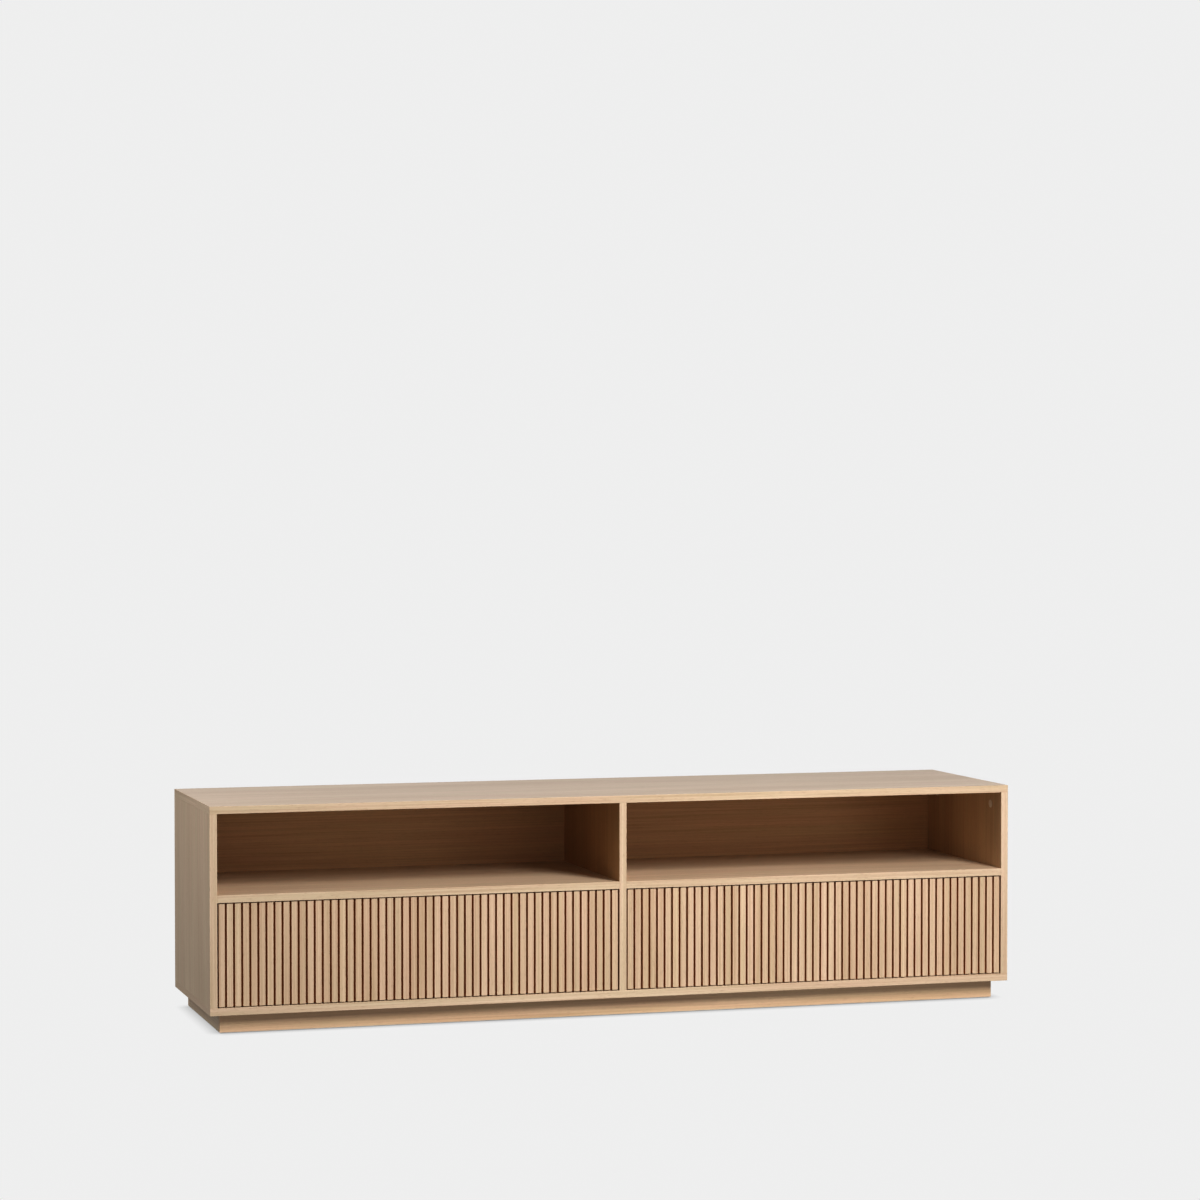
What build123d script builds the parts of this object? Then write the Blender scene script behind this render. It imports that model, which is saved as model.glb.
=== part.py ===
from build123d import *

import os

# Media cabinet: a low cabinet with two open bays above two slatted drawers, on a set-back plinth.
# Millimetres. +X runs along the cabinet, the front faces -Y, +Z is up.
# The origin is on the floor, under the middle of the cabinet.

# ---------------------------------------------------------------- driving dimensions
WIDTH = 1800.0
DEPTH = 440.0
HEIGHT = 480.0
BOARD = 16.0  # veneered board
LIPPING = 1.0  # solid oak edging glued to the boards' edges
BACK_BOARD = 5.0  # thin back panels, let into grooves
BACK_BITE = 5.0  # how far they go into their grooves
BACK_SETBACK = 11.0  # from the cabinet's rear to the back panels' front face
SHELF_TOP = 294.0

PLINTH_HEIGHT = 40.0
PLINTH_INSET_FRONT = 32.0
PLINTH_INSET_BACK = 16.0
PLINTH_INSET_SIDE = 26.0
CROSS_RAIL_XS = (-437.0, 0.0, 437.0)
BLOCK = 30.0  # glue block in each plinth corner
BLOCK_SCREW_RADIUS = 2.0
BLOCK_SCREW_BITE = 12.0  # into the bottom panel
GLIDE = 2.0  # thickness of the floor glides
GLIDE_RADIUS = 7.0
GLIDE_FROM_END = 30.0  # from a rail's end to its glide
NAIL_RADIUS = 1.2
NAIL_LENGTH = 12.0

CAM_YS = (-160.0, 150.0)  # places of the cams along each seam between two boards
CAM_RADIUS = 7.5
CAM_DEPTH = 12.5
CAM_SETBACK = 30.0  # from the seam to the cam's centre
CAM_MOUTH = 3.6  # radius of the cam's mouth for the bolt's head
CAP_RADIUS = 9.0
CAP_THICK = 1.0
CAP_SLOPE = 30.0  # of the cap's rim, in degrees
BOLT_RADIUS = 3.0
BOLT_NECK_RADIUS = 2.0
BOLT_HEAD_RADIUS = 3.2
BOLT_HEAD = 5.0  # length of the head
BOLT_CLEARANCE = 0.5
DOWEL_YS = (-128.0, 0.0, 118.0)
DOWEL_RADIUS = 4.0
DOWEL_REACH = 19.0  # into a board's end
FITTING_BITE = 11.0  # of dowels and bolts, into a board's face

SLATS = 51  # on each drawer front
GROOVE = 4.0  # between two slats
SLAT_THICK = 8.0
SLAT_ROUND = 0.6
FRONT_BOARD = 10.0  # backing board that the slats are glued to
FRONT_GAP = 3.0  # beside each drawer front
FRONT_SLIT = 2.0  # above and below it
FRONT_RECESS = 2.0  # from the boards' front edges to the slats' faces

DRAWER_BOARD = 12.0
DRAWER_LENGTH = 355.0
DRAWER_LOW = 70.0  # heights of the box's lower and upper edges
DRAWER_HIGH = 220.0
DRAWER_BOTTOM = 5.0
DRAWER_BOTTOM_LIFT = 10.0  # from the box's lower edge to its bottom
DRAWER_GROOVE = 6.0  # how far the bottom goes into the box's four walls
DRAWER_DOWEL_RADIUS = 3.0
DRAWER_DOWEL_BITE = 8.0  # into a side
DRAWER_DOWEL_REACH = 18.0  # into the end of the box's front or back
DRAWER_DOWEL_ZS = (100.0, 190.0)
FRONT_SCREW_XS = (-360.0, -120.0, 120.0, 360.0)  # from the drawer's middle
FRONT_SCREW_ZS = (105.0, 185.0)
FRONT_SCREW_RADIUS = 1.75
FRONT_SCREW_BITE = 8.0

RUNNER_DEPTH = 13.0  # from the cabinet's wall to the drawer's side
RUNNER_LENGTH = 350.0
RUNNER_SHEET = 1.2
RUNNER_START = 5.0  # behind the drawer front's rear face
RUNNER_Z = 130.0
RUNNER_SCREW_YS = (-160.0, -32.0, 96.0)
RUNNER_SCREW_RADIUS = 1.6
RUNNER_SCREW_BITE = 7.0
RUNNER_SCREW_HEAD_RADIUS = 3.2
RUNNER_SCREW_HEAD = 0.9
# Each member of a runner: where its web's outer face stands and where its flanges end, both
# measured from the cabinet's wall, and half its height
CABINET_MEMBER = (0.0, 9.0, 22.7)
MIDDLE_MEMBER = (2.5, 11.0, 18.0)
DRAWER_MEMBER = (RUNNER_DEPTH, 5.0, 13.3)
# Each pair of ball rows: distance from the cabinet's wall, and height above or below the middle
OUTER_BALLS = (5.75, 19.75)
INNER_BALLS = (8.0, 15.05)
BALL_RADIUS = 1.9
BALL_CLEARANCE = 0.15
BALLS = 5  # in each row
BALL_PITCH = 32.0
CAGE_SHEET = 0.8
CAGE_WIDTH = 6.0

LATCH_Z = 84.0  # height of the plunger's axis
LATCH_GAP = 3.2  # from the strike plate to the plunger's nose at rest
LATCH_NOSE = 6.3  # how far the nose stands out of its housing
LATCH_WALL = 2.0
LATCH_LENGTH = 40.0
LATCH_WIDTH = 20.0
LATCH_TOP = 94.0
LATCH_FOOT = 44.0  # width of the foot
LATCH_FOOT_THICK = 3.0
LATCH_SCREW_XS = (-16.0, 16.0)
LATCH_SCREW_BITE = 10.0
LATCH_BORE_RADIUS = 5.0
PLUNGER_RADIUS = 4.8
PLUNGER_LENGTH = 8.0
NOSE_RADIUS = 3.0
PLUNGER_CLEARANCE = 0.2
PIN_RADIUS = 2.0  # of the pin that the spring is threaded on
PIN_LENGTH = 10.0
SPRING_RADIUS = 3.4
WIRE_RADIUS = 0.45
SPRING_TURNS = 7
STRIKE_THICK = 1.5
STRIKE_SIZE = 24.0
STRIKE_SCREW_XS = (-8.0, 8.0)
STRIKE_SCREW_RADIUS = 1.25
STRIKE_SCREW_BITE = 5.0

# ---------------------------------------------------------------- places worked out from them
FRONT = -DEPTH / 2
REAR = DEPTH / 2
PLINTH_TOP = GLIDE + PLINTH_HEIGHT
FLOOR_TOP = PLINTH_TOP + BOARD  # upper face of the bottom panel
TOP_UNDERSIDE = HEIGHT - BOARD
UPRIGHT_HEIGHT = TOP_UNDERSIDE - FLOOR_TOP
UPRIGHT_MID = (TOP_UNDERSIDE + FLOOR_TOP) / 2
SHELF_UNDERSIDE = SHELF_TOP - BOARD
SHELF_MID = SHELF_TOP - BOARD / 2
SIDE_X = WIDTH / 2 - BOARD / 2  # mid-plane of a side panel
SIDE_INNER = WIDTH / 2 - BOARD
DIVIDER_FACE = BOARD / 2
BAY_WIDTH = SIDE_INNER - DIVIDER_FACE
BAY_X = (SIDE_INNER + DIVIDER_FACE) / 2
BACK_FRONT = REAR - BACK_SETBACK

PLINTH_FRONT = FRONT + PLINTH_INSET_FRONT
PLINTH_REAR = REAR - PLINTH_INSET_BACK
PLINTH_X = WIDTH / 2 - PLINTH_INSET_SIDE
RAIL_FRONT = PLINTH_FRONT + BOARD  # front end of the rails that run from front to back
RAIL_REAR = PLINTH_REAR - BOARD
RAIL_XS = (-PLINTH_X + BOARD / 2, *CROSS_RAIL_XS, PLINTH_X - BOARD / 2)

FRONT_WIDTH = BAY_WIDTH - 2 * FRONT_GAP
FRONT_HEIGHT = SHELF_UNDERSIDE - FLOOR_TOP - 2 * FRONT_SLIT
FRONT_LOW = FLOOR_TOP + FRONT_SLIT
SLAT_WIDTH = (FRONT_WIDTH - (SLATS - 1) * GROOVE) / SLATS
SLAT_FACE = FRONT + FRONT_RECESS
BOARD_FACE = SLAT_FACE + SLAT_THICK  # front face of the backing board
BOX_FRONT = BOARD_FACE + FRONT_BOARD
BOX_REAR = BOX_FRONT + DRAWER_LENGTH
BOX_MID_Y = (BOX_FRONT + BOX_REAR) / 2
BOX_WIDTH = BAY_WIDTH - 2 * RUNNER_DEPTH
BOX_INSIDE = BOX_WIDTH - 2 * DRAWER_BOARD
BOX_HEIGHT = DRAWER_HIGH - DRAWER_LOW
RUNNER_FRONT = BOX_FRONT + RUNNER_START
RUNNER_MID_Y = RUNNER_FRONT + RUNNER_LENGTH / 2
STRIKE_FACE = BOX_REAR + STRIKE_THICK
NOSE_TIP = STRIKE_FACE + LATCH_GAP
LATCH_FRONT = NOSE_TIP + LATCH_NOSE
LATCH_REAR = LATCH_FRONT + LATCH_LENGTH
PLUNGER_FRONT = LATCH_FRONT + LATCH_WALL + PLUNGER_CLEARANCE
PLUNGER_REAR = PLUNGER_FRONT + PLUNGER_LENGTH
BORE_REAR = LATCH_REAR - LATCH_WALL

HANDS = ((-1, "left"), (1, "right"))

# Each seam between two boards, seen from the front: where it is (x, z), the way from there into
# the board that holds the cams, how far the fittings bite into the other board, and the way that
# the cams face
SEAMS = []
for upright_x, face in ((-SIDE_X, 1), (0.0, 1), (SIDE_X, -1)):
    SEAMS.append(((upright_x, TOP_UNDERSIDE), (0, -1), FITTING_BITE, (face, 0)))
    SEAMS.append(((upright_x, FLOOR_TOP), (0, 1), FITTING_BITE, (face, 0)))
for side, _ in HANDS:
    SEAMS.append(((side * SIDE_INNER, SHELF_MID), (-side, 0), FITTING_BITE, (0, -1)))
    SEAMS.append(((side * DIVIDER_FACE, SHELF_MID), (side, 0), DIVIDER_FACE, (0, -1)))

os.makedirs("parts", exist_ok=True)


def keep(part, name):
    """Label a finished piece and write it to its own file."""
    part.label = name
    export_step(part, f"parts/{name}.step")


def walls(side):
    """The two walls of one drawer bay: each one's x, and the way into the bay from there."""
    return ((side * SIDE_INNER, -side), (side * DIVIDER_FACE, side))


# ---------------------------------------------------------------- fittings between the boards
with BuildPart() as dowels:
    for (x, z), (way_x, way_z), bite, _ in SEAMS:
        for y in DOWEL_YS:
            seam = Plane((x, y, z), z_dir=(way_x, 0, way_z))
            with BuildSketch(seam.offset(-bite)):
                Circle(DOWEL_RADIUS)
            extrude(amount=bite + DOWEL_REACH)
keep(dowels.part, "dowels")

# A bolt's thread and shank, neck and head, each from and to a distance past the seam
BOLT_SHANK_END = CAM_SETBACK - CAM_RADIUS - BOLT_CLEARANCE
BOLT_HEAD_START = CAM_SETBACK - BOLT_HEAD / 2

with BuildPart() as cam_bolts:
    for (x, z), (way_x, way_z), bite, _ in SEAMS:
        for y in CAM_YS:
            seam = Plane((x, y, z), z_dir=(way_x, 0, way_z))
            for start, end, radius in (
                (-bite, BOLT_SHANK_END, BOLT_RADIUS),
                (BOLT_SHANK_END, BOLT_HEAD_START, BOLT_NECK_RADIUS),
                (BOLT_HEAD_START, BOLT_HEAD_START + BOLT_HEAD, BOLT_HEAD_RADIUS),
            ):
                with BuildSketch(seam.offset(start)):
                    Circle(radius)
                extrude(amount=end - start)
keep(cam_bolts.part, "cam_bolts")

cam_faces = []
for (x, z), (way_x, way_z), _, (face_x, face_z) in SEAMS:
    for y in CAM_YS:
        centre = Vector(x, y, z) + Vector(way_x, 0, way_z) * CAM_SETBACK
        cam_faces.append(Plane(centre + Vector(face_x, 0, face_z) * BOARD / 2, z_dir=(face_x, 0, face_z)))

with BuildPart() as cam_bores:  # what is drilled for the cams and their bolts
    for cam_face in cam_faces:
        with BuildSketch(cam_face):
            Circle(CAM_RADIUS)
        extrude(amount=-CAM_DEPTH)
    for (x, z), (way_x, way_z), _, _ in SEAMS:
        for y in CAM_YS:
            with BuildSketch(Plane((x, y, z), z_dir=(way_x, 0, way_z))):
                Circle(BOLT_RADIUS + BOLT_CLEARANCE)
            extrude(amount=CAM_SETBACK)

with BuildPart() as cam_locks:
    for cam_face in cam_faces:
        with BuildSketch(cam_face):
            Circle(CAM_RADIUS)
        extrude(amount=-CAM_DEPTH)
    for (x, z), (way_x, way_z), _, _ in SEAMS:
        for y in CAM_YS:
            seam = Plane((x, y, z), z_dir=(way_x, 0, way_z))
            with BuildSketch(seam.offset(CAM_SETBACK - CAM_RADIUS)):
                Circle(CAM_MOUTH)
            extrude(amount=CAM_RADIUS + CAM_MOUTH, mode=Mode.SUBTRACT)
keep(cam_locks.part, "cam_locks")

with BuildPart() as cam_cover_caps:  # over the cams that the open bays show
    for cam_face in cam_faces:
        if cam_face.origin.Z > SHELF_TOP:
            with BuildSketch(cam_face):
                Circle(CAP_RADIUS)
            extrude(amount=CAP_THICK, taper=CAP_SLOPE)
keep(cam_cover_caps.part, "cam_cover_caps")

# ---------------------------------------------------------------- runner screws, cabinet side
with BuildPart() as runner_screws:
    for side, _ in HANDS:
        for wall_x, inward in walls(side):
            for y in RUNNER_SCREW_YS:
                web = Plane((wall_x + inward * RUNNER_SHEET, y, RUNNER_Z), z_dir=(-inward, 0, 0))
                with BuildSketch(web):
                    Circle(RUNNER_SCREW_RADIUS)
                extrude(amount=RUNNER_SHEET + RUNNER_SCREW_BITE)
                with BuildSketch(web):
                    Circle(RUNNER_SCREW_HEAD_RADIUS)
                extrude(amount=-RUNNER_SCREW_HEAD)
keep(runner_screws.part, "runner_screws")

# ---------------------------------------------------------------- plinth
with BuildPart() as plinth_screws:
    for rail_x in RAIL_XS:
        for y in (RAIL_FRONT + BLOCK / 2, RAIL_REAR - BLOCK / 2):
            block_side = -1 if rail_x > 0 else 1
            x = rail_x + block_side * (BOARD + BLOCK) / 2
            with BuildSketch(Plane((x, y, GLIDE))):
                Circle(BLOCK_SCREW_RADIUS)
            extrude(amount=PLINTH_HEIGHT + BLOCK_SCREW_BITE)
            with BuildSketch(Plane((x, y, GLIDE))):
                Circle(2 * BLOCK_SCREW_RADIUS)
            extrude(amount=BLOCK_SCREW_RADIUS, taper=45)
keep(plinth_screws.part, "plinth_screws")

with BuildPart() as plinth_corner_blocks:
    for rail_x in RAIL_XS:
        block_side = -1 if rail_x > 0 else 1
        with BuildSketch(Plane.XY.offset(GLIDE)):
            with Locations(
                (rail_x + block_side * (BOARD + BLOCK) / 2, RAIL_FRONT + BLOCK / 2),
                (rail_x + block_side * (BOARD + BLOCK) / 2, RAIL_REAR - BLOCK / 2),
            ):
                Rectangle(BLOCK, BLOCK)
        extrude(amount=PLINTH_HEIGHT)
    add(plinth_screws.part, mode=Mode.SUBTRACT)
keep(plinth_corner_blocks.part, "plinth_corner_blocks")

with BuildPart() as floor_glides:  # a disc and its nail
    for rail_x in RAIL_XS:
        for y in (RAIL_FRONT + GLIDE_FROM_END, RAIL_REAR - GLIDE_FROM_END):
            with BuildSketch(Plane((rail_x, y, 0))):
                Circle(GLIDE_RADIUS)
            extrude(amount=GLIDE)
            with BuildSketch(Plane((rail_x, y, GLIDE))):
                Circle(NAIL_RADIUS)
            extrude(amount=NAIL_LENGTH)
    chamfer(floor_glides.faces().sort_by(Axis.Z)[: 2 * len(RAIL_XS)].edges(), length=GLIDE / 4)
keep(floor_glides.part, "floor_glides")

for name, rail_y in (
    ("plinth_front_rail", PLINTH_FRONT + BOARD / 2),
    ("plinth_back_rail", PLINTH_REAR - BOARD / 2),
):
    with BuildPart() as long_rail:
        with BuildSketch(Plane.XY.offset(GLIDE)):
            with Locations((0, rail_y)):
                Rectangle(2 * PLINTH_X, BOARD)
        extrude(amount=PLINTH_HEIGHT)
    keep(long_rail.part, name)

for name, rail_xs in (
    ("plinth_left_rail", RAIL_XS[:1]),
    ("plinth_right_rail", RAIL_XS[-1:]),
    ("plinth_cross_rails", CROSS_RAIL_XS),
):
    with BuildPart() as short_rails:
        with BuildSketch(Plane.XY.offset(GLIDE)):
            with Locations(*[(x, (RAIL_FRONT + RAIL_REAR) / 2) for x in rail_xs]):
                Rectangle(BOARD, RAIL_REAR - RAIL_FRONT)
        extrude(amount=PLINTH_HEIGHT)
        add(floor_glides.part, mode=Mode.SUBTRACT)
    keep(short_rails.part, name)

# ---------------------------------------------------------------- push latches
with BuildPart() as latch_screws:
    for side, _ in HANDS:
        for x in LATCH_SCREW_XS:
            foot = Plane((side * BAY_X + x, (LATCH_FRONT + LATCH_REAR) / 2, FLOOR_TOP + LATCH_FOOT_THICK))
            with BuildSketch(foot):
                Circle(RUNNER_SCREW_RADIUS)
            extrude(amount=-LATCH_FOOT_THICK - LATCH_SCREW_BITE)
            with BuildSketch(foot):
                Circle(RUNNER_SCREW_HEAD_RADIUS)
            extrude(amount=RUNNER_SHEET)
keep(latch_screws.part, "latch_screws")

for side, hand in HANDS:
    latch_x = side * BAY_X
    with BuildPart() as latch_housing:  # a foot under a barrel, closed but for the nose's hole
        with BuildSketch(Plane.XZ.offset(-LATCH_FRONT)):
            with Locations((latch_x, FLOOR_TOP + LATCH_FOOT_THICK / 2)):
                Rectangle(LATCH_FOOT, LATCH_FOOT_THICK)
            with Locations((latch_x, (FLOOR_TOP + LATCH_TOP) / 2)):
                Rectangle(LATCH_WIDTH, LATCH_TOP - FLOOR_TOP)
        extrude(amount=-LATCH_LENGTH)
        fillet(latch_housing.edges().filter_by(Axis.Y).group_by(Axis.Z)[-1], radius=LATCH_WIDTH / 3)
        with BuildSketch(Plane((latch_x, LATCH_FRONT + LATCH_WALL, LATCH_Z), z_dir=(0, 1, 0))):
            Circle(LATCH_BORE_RADIUS)
        extrude(amount=LATCH_LENGTH - 2 * LATCH_WALL, mode=Mode.SUBTRACT)
        with BuildSketch(Plane((latch_x, LATCH_FRONT, LATCH_Z), z_dir=(0, 1, 0))):
            Circle(NOSE_RADIUS + PLUNGER_CLEARANCE)
        extrude(amount=LATCH_WALL, mode=Mode.SUBTRACT)
        add(latch_screws.part, mode=Mode.SUBTRACT)
    keep(latch_housing.part, f"{hand}_latch_housing")

    with BuildPart() as latch_plunger:  # nose, piston and the pin that carries the spring
        for start, end, radius in (
            (NOSE_TIP, PLUNGER_FRONT, NOSE_RADIUS),
            (PLUNGER_FRONT, PLUNGER_REAR, PLUNGER_RADIUS),
            (PLUNGER_REAR, PLUNGER_REAR + PIN_LENGTH, PIN_RADIUS),
        ):
            with BuildSketch(Plane((latch_x, start, LATCH_Z), z_dir=(0, 1, 0))):
                Circle(radius)
            extrude(amount=end - start)
        fillet(latch_plunger.faces().sort_by(Axis.Y)[0].edges(), radius=NOSE_RADIUS / 2)
    keep(latch_plunger.part, f"{hand}_latch_plunger")

    spring_start = PLUNGER_REAR + WIRE_RADIUS + PLUNGER_CLEARANCE
    spring_length = BORE_REAR - WIRE_RADIUS - PLUNGER_CLEARANCE - spring_start
    with BuildPart() as latch_spring:
        with BuildLine() as coil:
            Helix(
                pitch=spring_length / SPRING_TURNS,
                height=spring_length,
                radius=SPRING_RADIUS,
                center=(latch_x, spring_start, LATCH_Z),
                direction=(0, 1, 0),
            )
        with BuildSketch(Plane(coil.line @ 0, z_dir=coil.line % 0)):
            Circle(WIRE_RADIUS)
        sweep(path=coil.line, is_frenet=True)
    keep(latch_spring.part, f"{hand}_latch_spring")


# ---------------------------------------------------------------- ball-bearing runners
def channels(side, member, screws=None):
    """One member of both runners of a drawer: a steel channel with tracks for the balls."""
    web, flange_end, half_height = member
    sheet = RUNNER_SHEET if flange_end > web else -RUNNER_SHEET
    with BuildPart() as runners:
        for wall_x, inward in walls(side):
            with BuildSketch(Plane.XZ.offset(-RUNNER_FRONT)):
                with Locations((wall_x + inward * (web + flange_end) / 2, RUNNER_Z)):
                    Rectangle(abs(flange_end - web), 2 * half_height)
                with Locations((wall_x + inward * (web + sheet + flange_end) / 2, RUNNER_Z)):
                    Rectangle(
                        abs(flange_end - web - sheet), 2 * (half_height - RUNNER_SHEET), mode=Mode.SUBTRACT
                    )
                for across, up in (OUTER_BALLS, INNER_BALLS):
                    ball_x = wall_x + inward * across
                    with Locations((ball_x, RUNNER_Z - up), (ball_x, RUNNER_Z + up)):
                        Circle(BALL_RADIUS + BALL_CLEARANCE, mode=Mode.SUBTRACT)
            extrude(amount=-RUNNER_LENGTH)
        if screws:
            add(screws.part, mode=Mode.SUBTRACT)
    return runners.part


def ball_cages(side, balls):
    """The cages between two members: thin strips pierced for the balls, with the balls in them."""
    across, up = balls
    with BuildPart() as cages:
        for wall_x, inward in walls(side):
            for z in (RUNNER_Z - up, RUNNER_Z + up):
                with BuildSketch(Plane((wall_x + inward * across, RUNNER_MID_Y, z - CAGE_SHEET / 2))):
                    Rectangle(CAGE_WIDTH, BALLS * BALL_PITCH)
                    with GridLocations(0, BALL_PITCH, 1, BALLS):
                        Circle(BALL_RADIUS + BALL_CLEARANCE, mode=Mode.SUBTRACT)
                extrude(amount=CAGE_SHEET)
                with Locations((wall_x + inward * across, RUNNER_MID_Y, z)):
                    with GridLocations(0, BALL_PITCH, 1, BALLS):
                        Sphere(BALL_RADIUS)
    return cages.part


# ---------------------------------------------------------------- drawers
for side, hand in HANDS:
    middle_x = side * BAY_X
    end_x = BOX_INSIDE / 2  # from the drawer's middle to the inner face of a box side

    with BuildPart() as box_dowels:
        for way in (-1, 1):
            for y in (BOX_FRONT + DRAWER_BOARD / 2, BOX_REAR - DRAWER_BOARD / 2):
                for z in DRAWER_DOWEL_ZS:
                    start_x = middle_x + way * (end_x + DRAWER_DOWEL_BITE)
                    with BuildSketch(Plane((start_x, y, z), z_dir=(-way, 0, 0))):
                        Circle(DRAWER_DOWEL_RADIUS)
                    extrude(amount=DRAWER_DOWEL_BITE + DRAWER_DOWEL_REACH)
    keep(box_dowels.part, f"{hand}_drawer_dowels")

    with BuildPart() as drawer_screws:
        for wall_x, inward in walls(side):  # through the runners into the box's sides
            for y in RUNNER_SCREW_YS:
                web_x = wall_x + inward * (RUNNER_DEPTH - RUNNER_SHEET)
                with BuildSketch(Plane((web_x, y, RUNNER_Z), z_dir=(inward, 0, 0))):
                    Circle(RUNNER_SCREW_RADIUS)
                extrude(amount=RUNNER_SHEET + RUNNER_SCREW_BITE)
                with BuildSketch(Plane((web_x, y, RUNNER_Z), z_dir=(-inward, 0, 0))):
                    Circle(RUNNER_SCREW_HEAD_RADIUS)
                extrude(amount=RUNNER_SCREW_HEAD)
        countersunk = [  # place, radius and length of the screws that run forwards
            ((middle_x + x, BOX_FRONT + DRAWER_BOARD, z), FRONT_SCREW_RADIUS, DRAWER_BOARD + FRONT_SCREW_BITE)
            for x in FRONT_SCREW_XS
            for z in FRONT_SCREW_ZS
        ] + [
            ((middle_x + x, STRIKE_FACE, LATCH_Z), STRIKE_SCREW_RADIUS, STRIKE_THICK + STRIKE_SCREW_BITE)
            for x in STRIKE_SCREW_XS
        ]
        for place, radius, length in countersunk:
            with BuildSketch(Plane(place, z_dir=(0, -1, 0))):
                Circle(radius)
            extrude(amount=length)
            with BuildSketch(Plane(place, z_dir=(0, -1, 0))):
                Circle(2 * radius)
            extrude(amount=radius, taper=45)
    keep(drawer_screws.part, f"{hand}_drawer_screws")

    with BuildPart() as box_bottom:
        with BuildSketch(Plane.XY.offset(DRAWER_LOW + DRAWER_BOTTOM_LIFT)):
            with Locations((middle_x, BOX_MID_Y)):
                Rectangle(
                    BOX_INSIDE + 2 * DRAWER_GROOVE, DRAWER_LENGTH - 2 * DRAWER_BOARD + 2 * DRAWER_GROOVE
                )
        extrude(amount=DRAWER_BOTTOM)
    keep(box_bottom.part, f"{hand}_box_bottom")

    for name, wall_mid, wall_size in (
        ("box_front", (middle_x, BOX_FRONT + DRAWER_BOARD / 2), (BOX_INSIDE, DRAWER_BOARD)),
        ("box_back", (middle_x, BOX_REAR - DRAWER_BOARD / 2), (BOX_INSIDE, DRAWER_BOARD)),
        ("box_left_side", (middle_x - end_x - DRAWER_BOARD / 2, BOX_MID_Y), (DRAWER_BOARD, DRAWER_LENGTH)),
        ("box_right_side", (middle_x + end_x + DRAWER_BOARD / 2, BOX_MID_Y), (DRAWER_BOARD, DRAWER_LENGTH)),
    ):
        with BuildPart() as box_wall:  # grooved for the bottom and bored for its fittings
            with BuildSketch(Plane.XY.offset(DRAWER_LOW)):
                with Locations(wall_mid):
                    Rectangle(*wall_size)
            extrude(amount=BOX_HEIGHT)
            for let_in in (box_bottom, box_dowels, drawer_screws):
                add(let_in.part, mode=Mode.SUBTRACT)
        keep(box_wall.part, f"{hand}_{name}")

    with BuildPart() as front_board:
        with BuildSketch(Plane.XY.offset(FRONT_LOW)):
            with Locations((middle_x, BOARD_FACE + FRONT_BOARD / 2)):
                Rectangle(FRONT_WIDTH, FRONT_BOARD)
        extrude(amount=FRONT_HEIGHT)
        add(drawer_screws.part, mode=Mode.SUBTRACT)
    keep(front_board.part, f"{hand}_front_board")

    with BuildPart() as front_slats:
        with BuildSketch(Plane.XY.offset(FRONT_LOW)):
            with Locations((middle_x, SLAT_FACE + SLAT_THICK / 2)):
                with GridLocations(SLAT_WIDTH + GROOVE, 0, SLATS, 1):
                    Rectangle(SLAT_WIDTH, SLAT_THICK)
        extrude(amount=FRONT_HEIGHT)
        fillet(front_slats.edges().filter_by(Axis.Z).group_by(Axis.Y)[0], radius=SLAT_ROUND)
    keep(front_slats.part, f"{hand}_front_slats")

    with BuildPart() as latch_strike:
        with BuildSketch(Plane.XZ.offset(-BOX_REAR)):
            with Locations((middle_x, LATCH_Z)):
                RectangleRounded(STRIKE_SIZE, STRIKE_SIZE, STRIKE_THICK)
        extrude(amount=-STRIKE_THICK)
        add(drawer_screws.part, mode=Mode.SUBTRACT)
    keep(latch_strike.part, f"{hand}_latch_strike")

    keep(channels(side, CABINET_MEMBER, runner_screws), f"{hand}_cabinet_runners")
    keep(channels(side, MIDDLE_MEMBER), f"{hand}_middle_runners")
    keep(channels(side, DRAWER_MEMBER, drawer_screws), f"{hand}_drawer_runners")
    keep(ball_cages(side, OUTER_BALLS), f"{hand}_outer_ball_cages")
    keep(ball_cages(side, INNER_BALLS), f"{hand}_inner_ball_cages")

# ---------------------------------------------------------------- boards of the cabinet
for side, hand in HANDS:
    with BuildPart() as back_panel:
        with BuildSketch(Plane.XZ.offset(-BACK_FRONT)):
            with Locations((side * BAY_X, UPRIGHT_MID)):
                Rectangle(BAY_WIDTH + 2 * BACK_BITE, UPRIGHT_HEIGHT + 2 * BACK_BITE)
        extrude(amount=-BACK_BOARD)
    keep(back_panel.part, f"{hand}_back_panel")

with BuildPart() as back_grooves:  # what is cut out of the boards for both back panels
    with BuildSketch(Plane.XZ.offset(-BACK_FRONT)):
        with Locations((-BAY_X, UPRIGHT_MID), (BAY_X, UPRIGHT_MID)):
            Rectangle(BAY_WIDTH + 2 * BACK_BITE, UPRIGHT_HEIGHT + 2 * BACK_BITE)
    extrude(amount=-BACK_BOARD)

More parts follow.
